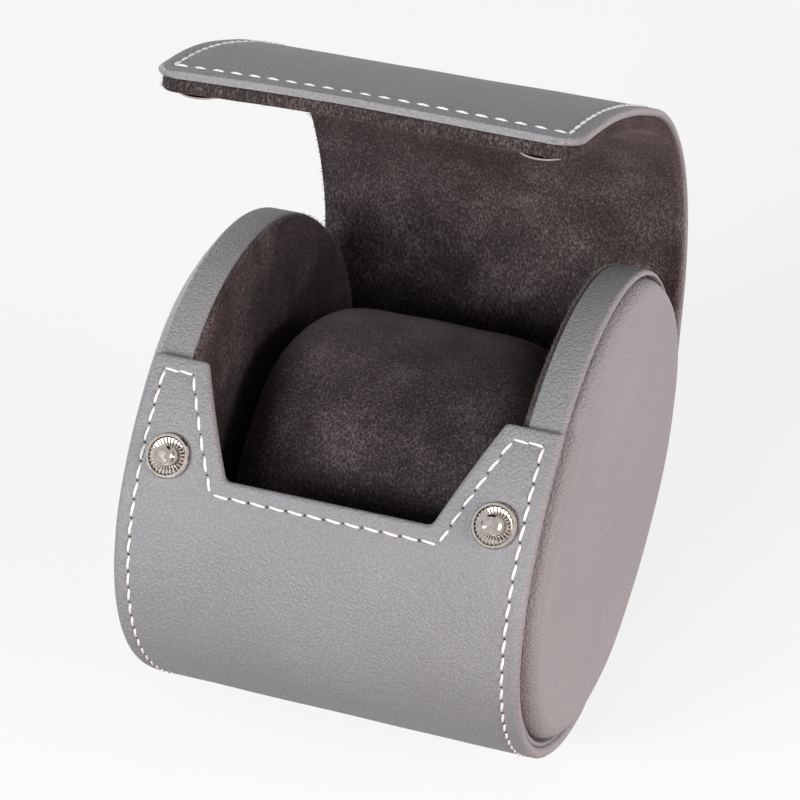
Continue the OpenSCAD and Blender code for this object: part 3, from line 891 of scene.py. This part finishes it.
def make_discs():
    inner, outer = rim_low.x, HALF_W
    ridge, fold_in, top = 0.85, 0.5, outer - RIM_SUNK
    profile = [(RIM_OUT - ridge + ridge * math.cos(a), top - ridge + ridge * math.sin(a))
               for a in quarter(6)]
    profile += [(RIM_OUT - RIM_T - 0.02, top - 0.35), (RIM_OUT - RIM_T - 0.1, outer - RECESS)]
    profile += [(RIM_OUT - RIM_T - 0.8, outer - RECESS), (RIM_OUT - RIM_T - 0.8, inner + 0.4)]
    profile += [(RIM_OUT - RIM_T - 0.6, inner)]
    profile += [(RIM_OUT - fold_in + fold_in * math.sin(a), inner + fold_in - fold_in * math.cos(a))
                for a in quarter(4)]
    rim = oval_ring("right_rim", profile)
    face_out = RIM_OUT - RIM_T - GROOVE_W
    depths = (0.02, 0.15, 0.4, 0.8, 1.3, 1.9, 2.6, 3.4, 4.5, 6.5, 9, 13, 18, 24, 30, 36, 40)
    rings = [(face_out - d, outer + face_height(d)) for d in depths[::-1]]
    rings += [(face_out, outer - 1.9), (face_out - 1.0, outer - RECESS), (-42, outer - RECESS)]
    face = oval_plate("right_face", rings)
    places = vertices(face) / MM
    padded = np.clip((places[:, 0] - outer) / FACE_RISE, 0, 1)
    places[:, 0] += padded * soft(places, 18, 0.25, 3)
    set_vertices(face, places * MM)
    recalculate(face)
    panel_out, back = RIM_OUT - 0.3, rim_low.x
    face_x = DISC_INNER_X
    rings = [(-42, back), (panel_out, back), (panel_out + 0.05, face_x + 0.6),
             (panel_out - 0.1, face_x + 0.25), (panel_out - 0.45, face_x + 0.04),
             (panel_out - 1.2, face_x), (-20, face_x), (-42, face_x)]
    panel = oval_plate("right_inner_suede", rings)
    recalculate(panel)
    board_low, board_high = box_mm("right_end_board")
    board_out = board_high.y - HALF_DEPTH
    rings = [(-42, board_high.x), (board_out - 0.3, board_high.x), (board_out, board_high.x - 0.3),
             (board_out, board_low.x + 0.3), (board_out - 0.3, board_low.x), (-42, board_low.x)]
    core = oval_plate("right_core_board", rings[::-1])
    recalculate(core)
    nodes = {"rim": ["rim_leather"], "face": ["face_leather", "face_pad"],
             "inner_suede": ["end_lining"], "core_board": ["end_board"]}
    finishes = ((rim, LEATHER_FINISH), (face, LEATHER_FINISH), (panel, SUEDE_FINISH),
                (core, BOARD_FINISH))
    for o, finish in finishes:
        for side, piece in (("left", mirrored(o, o.name.replace("right", "left"))), ("right", o)):
            smooth(piece, 60)
            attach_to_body(dress(piece, *finish), "case")
            part = piece.name.replace(side + "_", "")
            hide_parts(*(f"{side}_{node}" for node in nodes[part]))


# ---- Pile that stands out along the suede's edges -------------------------------------------
HAIR = 0.06


def hairs(name, roots, tips, turn):
    """One mesh of thin three-sided hairs, each from a root to a tip, in mm."""
    corners, faces = [], []
    for root, tip, start in zip(roots, tips, turn):
        way = Vector(tip - root).normalized()
        side = way.orthogonal().normalized()
        other = way.cross(side)
        base = len(corners)
        for k in range(3):
            a = start + k * 2 * math.pi / 3
            corners.append(Vector(root) + HAIR * (math.cos(a) * side + math.sin(a) * other))
        corners.append(Vector(tip))
        faces += [(base + 2, base + 1, base)]
        faces += [(base + k, base + (k + 1) % 3, base + 3) for k in range(3)]
    mesh = bpy.data.meshes.new(name)
    mesh.from_pydata([tuple(c * MM) for c in corners], [], faces)
    o = bpy.data.objects.new(name, mesh)
    bpy.context.scene.collection.objects.link(o)
    recalculate(o)
    return o


def lining_hairs(name, sheet, low, high, attach, seed, density=6.0):
    """Hairs along the sides and far end of the lid's lining, for the part from low to high."""
    rng = np.random.default_rng(seed)
    outline = sheet.outline
    roots, tips = [], []
    for a, b in zip(outline, np.roll(outline, -1, axis=0)):
        step = b - a
        run = np.linalg.norm(step)
        if run < 1e-6 or (abs(a[1] - b[1]) < 1e-6 and abs(a[1] - sheet.start) < 1e-6):
            continue
        out = np.array([step[1], -step[0]]) / run
        middle = (a + b) / 2
        if out @ (middle - (0, (sheet.start + sheet.end) / 2)) < 0:
            out = -out
        for u in rng.random(int(run * density)):
            at = a + step * u
            if not low <= at[1] < high:
                continue
            depth = -LID_SKIN + SKIVE * 0.7 - rng.random() * (LID_LINING + SKIVE * 0.5)
            reach = 0.25 + 0.55 * rng.random()
            lean = rng.normal(0, 0.25, 2)
            root = np.array([*(at - out * 0.35), depth])
            roots.append(root)
            flat = out * (0.35 + reach) + np.array([-out[1], out[0]]) * lean[0]
            tips.append(root + np.array([*flat, lean[1] - 0.1]))
    roots = section.bend(np.array(roots)) / MM
    tips = section.bend(np.array(tips)) / MM
    attach(dress(hairs(name, roots, tips, rng.random(len(roots)) * 2), *PAINTED_LIGHTER_PILE_FINISH))


def disc_hairs(side, seed):
    """Hairs round the edge of a disc's suede, where it meets the leather band."""
    rng = np.random.default_rng(seed)
    count = 1700
    roots, tips = [], []
    for k in range(count):
        t = 360 * (k + rng.random()) / count
        x = DISC_INNER_X + 0.1 + 0.8 * rng.random()
        reach = 0.2 + 0.45 * rng.random()
        lean = rng.normal(0, 0.25, 2)
        root = on_oval(t, RIM_OUT - 0.6)
        tip = on_oval(t + lean[0] * 0.5, RIM_OUT - 0.3 + reach)
        roots.append((side * x, *root))
        tips.append((side * (x - 0.15 + lean[1] * 0.5), *tip))
    roots, tips = np.array(roots), np.array(tips)
    if side < 0:
        roots, tips = askew(roots), askew(tips)
    name = ("right" if side > 0 else "left") + "_disc_pile"
    o = hairs(name, roots, tips, rng.random(count) * 2)
    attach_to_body(dress(o, *PAINTED_LIGHTER_PILE_FINISH), "case")


def make_pile():
    start, half = HINGE_AT - 10, HALF_W - LINING_INSET
    lid = Sheet(half, start, LID_END_AT)
    flap = Sheet(half, LID_END_AT, TIP_AT - LINING_INSET, LID_CORNER - LINING_INSET)
    lining_hairs("lid_lining_pile", lid, start, LID_END_AT - 0.01, bend_lid, 11)
    lining_hairs("flap_lining_pile", flap, LID_END_AT, TIP_AT, bend_flap, 12)
    disc_hairs(1, 13)
    disc_hairs(-1, 14)


# ---- Pillow ---------------------------------------------------------------------------------
END_SEAM = 3.2         # from the pillow's ends to the seams of its end panels
PUCKERS = 44


def make_pillow():
    low, high = box_mm("pillow_sleeve")
    half_length = box_mm("pillow_end_panels")[1].x
    middle = np.array((low + high) / 2)
    size = np.array([half_length, (high.y - low.y) / 2, (high.z - low.z) / 2])
    bpy.ops.mesh.primitive_uv_sphere_add(
        segments=96, ring_count=64, radius=1, rotation=(0, math.pi / 2, 0))
    o = made("pillow")
    bpy.ops.object.transform_apply(location=False, rotation=True, scale=True)
    v = vertices(o)
    radial = np.hypot(v[:, 1], v[:, 2])
    v /= ((np.abs(v[:, 0]) ** 5 + radial**5) ** 0.2)[:, None]
    seam = size[0] - END_SEAM
    v[:, 0] *= 0.965 + 0.035 * (1 - np.minimum(1, np.hypot(v[:, 1], v[:, 2])) ** 2)
    rest = v * size * 0.97
    set_vertices(o, (rest + middle) * MM)
    sewn = np.abs(np.abs(rest[:, 0]) - seam) < 0.6
    plump(o, sewn)
    add_modifier(o, "SUBSURF", levels=1, render_levels=1)
    v = vertices(o) / MM - middle
    turn = np.arctan2(v[:, 2] / size[2], v[:, 1] / size[1])
    off = np.abs(v[:, 0]) - seam
    pull = 0.55 * np.exp(-((off / 0.9) ** 2))
    pull += 0.22 * (1 + np.sin(PUCKERS * turn + 2 * np.sin(3 * turn))) * np.exp(-((off / 3.2) ** 2))
    back_seam = np.abs(turn + 1.9) * size[1]
    pull += 0.5 * np.exp(-((back_seam / 0.9) ** 2)) * (off < 0)
    v -= pull[:, None] * v * (0.4, 1, 1) / np.maximum(np.linalg.norm(v, axis=1), 1)[:, None]
    v += soft(v, 12, 0.5, 5)[:, None] * v / np.maximum(np.linalg.norm(v, axis=1), 1)[:, None]
    set_vertices(o, (v + middle) * MM)
    smooth(o, 80)
    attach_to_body(dress(o, *SUEDE_FINISH), "pillow")
    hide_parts("pillow_sleeve", "pillow_end_panels", "pillow_foam")


def plump(o, sewn):
    """The filling presses the cover out between its seams, at most 1.6 mm anywhere."""
    before = vertices(o)
    group = o.vertex_groups.new(name="sewn")
    group.add([int(k) for k in np.flatnonzero(sewn)], 1.0, "REPLACE")
    cloth = o.modifiers.new("cloth", "CLOTH")
    cloth.settings.quality = 6
    cloth.settings.mass = 0.2
    cloth.settings.vertex_group_mass = "sewn"
    cloth.settings.use_pressure = True
    cloth.settings.uniform_pressure_force = 4
    cloth.settings.effector_weights.gravity = 0
    cloth.point_cache.frame_start, cloth.point_cache.frame_end = 1, 20
    for number in range(1, 21):
        bpy.context.scene.frame_set(number)
    select_only(o)
    bpy.ops.object.modifier_apply(modifier=cloth.name)
    bpy.context.scene.frame_set(1)
    o.vertex_groups.clear()
    moved = vertices(o) - before
    far = np.linalg.norm(moved, axis=1)
    moved *= np.minimum(1, 1.6 * MM / np.maximum(far, 1e-9))[:, None]
    set_vertices(o, before + moved)


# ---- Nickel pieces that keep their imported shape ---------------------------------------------
def dress_nodes():
    for name, node in frame["nodes"].items():
        if name.startswith(("snap", "stud", "socket")):
            smooth(dress(node, nickel), 35)


make_wrap()
make_lid()
make_flap()
make_stitches()
make_discs()
make_pile()
make_pillow()
dress_nodes()

# ---- Camera, floor and light ----------------------------------------------------------------
AZIMUTH, ELEVATION = 19.277, 36.926
DISTANCE = 525.0
FOCAL_PIXELS = 2826.1
FRAME_PIXELS = 800
CENTRE_PIXEL = (410.28, 467.46)
SENSOR = 36.0

az, el = math.radians(AZIMUTH), math.radians(ELEVATION)
back = Vector((math.sin(az) * math.cos(el), -math.cos(az) * math.cos(el), math.sin(el)))
aim = Vector((0, 0, CENTRE_Z)) * MM
camera_data = bpy.data.cameras.new("camera")
camera_data.sensor_width = SENSOR
camera_data.lens = FOCAL_PIXELS / FRAME_PIXELS * SENSOR
camera_data.shift_x = (FRAME_PIXELS / 2 - CENTRE_PIXEL[0]) / FRAME_PIXELS
camera_data.shift_y = (CENTRE_PIXEL[1] - FRAME_PIXELS / 2) / FRAME_PIXELS
camera_data.clip_start, camera_data.clip_end = 0.01, 20
camera = bpy.data.objects.new("camera", camera_data)
bpy.context.scene.collection.objects.link(camera)
camera.location = aim + back * DISTANCE * MM
camera.rotation_mode = "QUATERNION"
camera.rotation_quaternion = (-back).to_track_quat("-Z", "Y")
bpy.context.scene.camera = camera


def seen_directly(material):
    """1 for what is seen, also in a mirror or through glass, and 0 for the light on things."""
    seen = add(material, "LightPath").outputs
    either = add(material, "Math", {"operation": "MAXIMUM"},
                 {0: seen["Is Camera Ray"], 1: seen["Is Glossy Ray"]})
    return add(material, "Math", {"operation": "MAXIMUM"},
               {0: either, 1: seen["Is Transmission Ray"]})


def make_floor():
    """White paper. The camera and mirrors see it lit evenly, with part of the object's shadow, and
    the light that it throws back on the object is that of a grey cloth."""
    bpy.ops.mesh.primitive_plane_add(size=6, location=(0, 0, 0))
    floor = made("floor")
    m = new_material("white_paper")
    either = seen_directly(m)
    colour = add(m, "Mix", {"data_type": "RGBA", 6: linear("#505050"), 7: linear("#fbfbfb")},
                 {0: either}).outputs[2]
    paper = add(m, "BsdfDiffuse", {}, {"Color": colour})
    even = add(m, "Emission", {"Color": linear("#ffffff"), "Strength": 1.0})
    share = add(m, "Math", {"operation": "MULTIPLY", 1: 0.8}, {0: either})
    both = add(m, "MixShader", {}, {0: share, 1: paper, 2: even})
    add(m, "OutputMaterial", {}, {"Surface": both})
    floor.data.materials.append(m)


def make_world():
    world = bpy.data.worlds.new("studio")
    bpy.context.scene.world = world
    world.use_nodes = True
    world.node_tree.nodes.clear()
    either = seen_directly(world)
    white = add(world, "Background", {"Color": linear("#ffffff"), "Strength": 1.0})
    room = add(world, "Background", {"Color": linear("#e9eaec"), "Strength": 0.13})
    both = add(world, "MixShader", {}, {0: either, 1: room, 2: white})
    add(world, "OutputWorld", {}, {"Surface": both})


def soft_box(name, place, size, power, colour="#ffffff", target=(0, 0, 0.05)):
    data = bpy.data.lights.new(name, "AREA")
    data.color = linear(colour)[:3]
    data.shape = "RECTANGLE"
    data.size, data.size_y = size
    data.energy = power
    o = bpy.data.objects.new(name, data)
    bpy.context.scene.collection.objects.link(o)
    o.location = place
    o.rotation_mode = "QUATERNION"
    o.rotation_quaternion = (Vector(target) - Vector(place)).to_track_quat("-Z", "Y")


make_floor()
make_world()
soft_box("front", (-0.5, -1.2, 0.64), (0.9, 0.4), 22)
soft_box("right", (1.25, -0.3, 0.42), (0.8, 0.7), 15, "#fbf5f4")
soft_box("low right", (1.0, -0.35, 0.08), (0.6, 0.12), 3.6, "#ff9d90")
soft_box("back left", (-1.1, 0.85, 0.08), (0.8, 0.15), 6.5)
soft_box("back right", (1.0, 1.0, 0.08), (0.8, 0.15), 4.2)

bpy.context.scene.view_settings.view_transform = "Standard"
